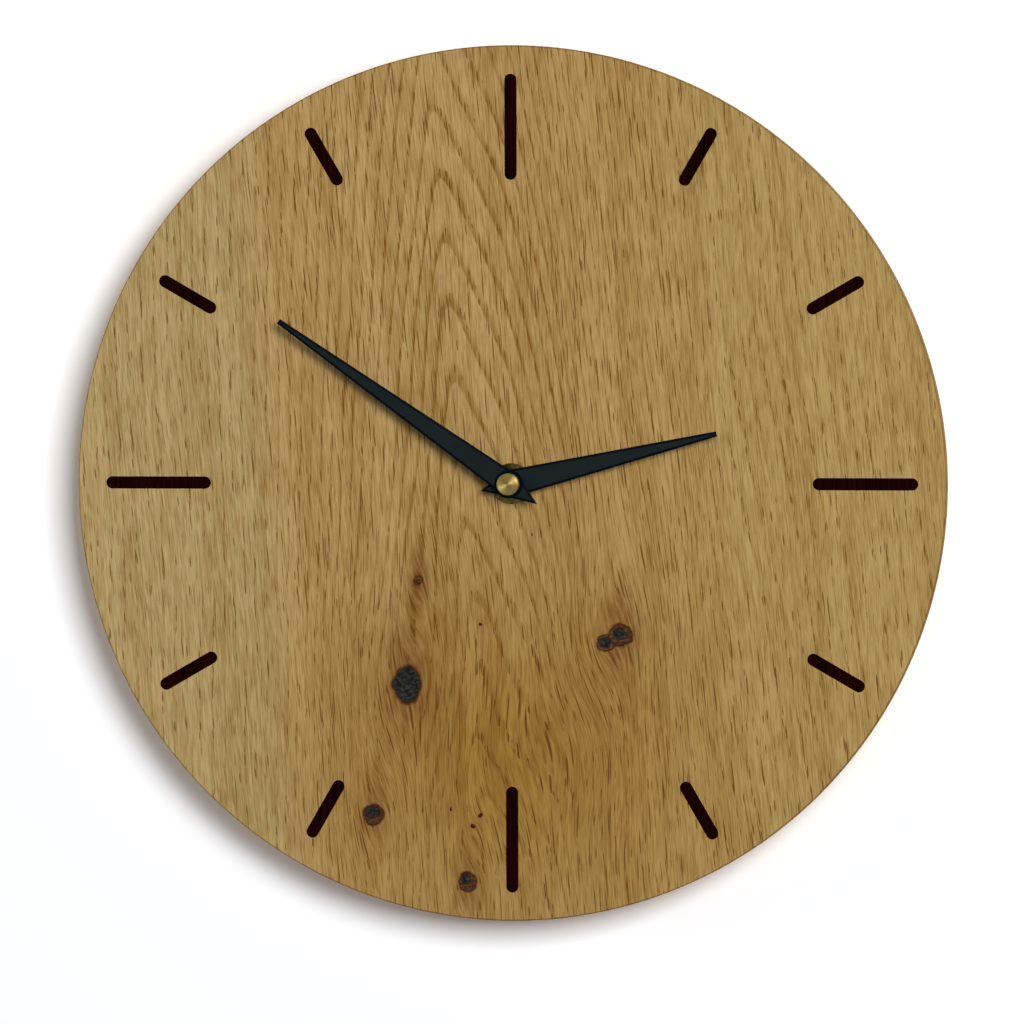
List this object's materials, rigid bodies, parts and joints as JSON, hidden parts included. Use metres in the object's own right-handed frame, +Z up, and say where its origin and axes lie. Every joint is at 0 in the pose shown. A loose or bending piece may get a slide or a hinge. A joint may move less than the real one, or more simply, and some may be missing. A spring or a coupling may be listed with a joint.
{
  "type": "wall clock",
  "caption": "Round wooden wall clock with engraved hour bars, two tapered black hands, a brass centre fitting and a battery movement that hangs on a nail",
  "frame": {"origin": "On the axis of the hands, in the plane where the flat back of the movement meets the wall", "axes": "+Z up towards twelve o'clock, +X towards three o'clock as the viewer sees it, -Y out of the wall towards the viewer, so +Y points into the wall"},
  "size_m": [0.3, 0.0329, 0.3],
  "materials": {
    "dial_oak": "satin",
    "hand_black": "matte",
    "brass_bright": "satin",
    "brass_dull": "matte",
    "hanger_steel": "satin",
    "gasket_rubber": "matte",
    "case_black": "matte",
    "gear_white": "satin",
    "motor_steel": "satin",
    "contact_steel": "satin",
    "magnet_grey": "matte",
    "coil_copper": "gloss",
    "board_brown": "matte",
    "chip_resin": "gloss",
    "cell_sleeve": "satin"
  },
  "bodies": {
    "clock_body": {"dial_plate": "dial_oak", "dial_washer": "brass_dull", "dial_hex_nut": "brass_dull", "threaded_bushing": "brass_dull", "rubber_gasket": "gasket_rubber", "wall_hanger": "hanger_steel", "front_case": "case_black", "rear_cover": "case_black", "train_bridge": "gear_white", "stator_plate": "motor_steel", "coil_core": "motor_steel", "coil_bobbin": "gear_white", "coil_winding": "coil_copper", "circuit_board": "board_brown", "clock_chip": "chip_resin", "quartz_crystal": "contact_steel", "negative_contact": "contact_steel", "positive_contact": "contact_steel", "battery_cell": "cell_sleeve"},
    "minute_arbor": {"minute_hand": "hand_black", "hand_cap_nut": "brass_bright", "centre_wheel": "gear_white"},
    "hour_pipe": {"hour_hand": "hand_black", "hour_wheel": "gear_white"},
    "reverser": {"minute_wheel": "gear_white"},
    "hand_setter": {"setting_knob": "case_black"},
    "third_arbor": {"third_wheel": "gear_white"},
    "seconds_arbor": {"seconds_wheel": "gear_white"},
    "intermediate_arbor": {"intermediate_wheel": "gear_white"},
    "rotor_arbor": {"rotor": "magnet_grey"}
  },
  "joints": [
    {"name": "minute_hand_turn", "type": "hinge", "parent": "clock_body", "child": "minute_arbor", "pos_m": [0, -0.0294, 0], "axis": [0, 1, 0], "continuous": true},
    {"name": "hour_hand_turn", "type": "hinge", "parent": "clock_body", "child": "hour_pipe", "pos_m": [0, -0.0272, 0], "axis": [0, 1, 0], "continuous": true},
    {"name": "minute_wheel_turn", "type": "hinge", "parent": "clock_body", "child": "reverser", "pos_m": [0.00677, -0.0131, -0.00246], "axis": [0, 1, 0], "continuous": true},
    {"name": "setting_knob_turn", "type": "hinge", "parent": "clock_body", "child": "hand_setter", "pos_m": [0.01483, -0.0014, -0.00317], "axis": [0, 1, 0], "continuous": true},
    {"name": "third_wheel_turn", "type": "hinge", "parent": "clock_body", "child": "third_arbor", "pos_m": [-0.00736, -0.0089, 0.00425], "axis": [0, 1, 0], "continuous": true},
    {"name": "seconds_wheel_turn", "type": "hinge", "parent": "clock_body", "child": "seconds_arbor", "pos_m": [0, -0.007, 0], "axis": [0, 1, 0], "continuous": true},
    {"name": "intermediate_wheel_turn", "type": "hinge", "parent": "clock_body", "child": "intermediate_arbor", "pos_m": [0.00289, -0.0051, 0.00793], "axis": [0, 1, 0], "continuous": true},
    {"name": "rotor_turn", "type": "hinge", "parent": "clock_body", "child": "rotor_arbor", "pos_m": [0.00639, -0.0066, 0.014], "axis": [0, 1, 0], "continuous": true}
  ],
  "couplings": [
    {"joint": "hour_hand_turn", "follows": "minute_hand_turn", "ratio": 0.083333},
    {"joint": "minute_wheel_turn", "follows": "minute_hand_turn", "ratio": -0.33333},
    {"joint": "setting_knob_turn", "follows": "minute_hand_turn", "ratio": 0.66667},
    {"joint": "third_wheel_turn", "follows": "minute_hand_turn", "ratio": -8},
    {"joint": "seconds_wheel_turn", "follows": "minute_hand_turn", "ratio": 60},
    {"joint": "intermediate_wheel_turn", "follows": "minute_hand_turn", "ratio": -300},
    {"joint": "rotor_turn", "follows": "minute_hand_turn", "ratio": 1800}
  ]
}
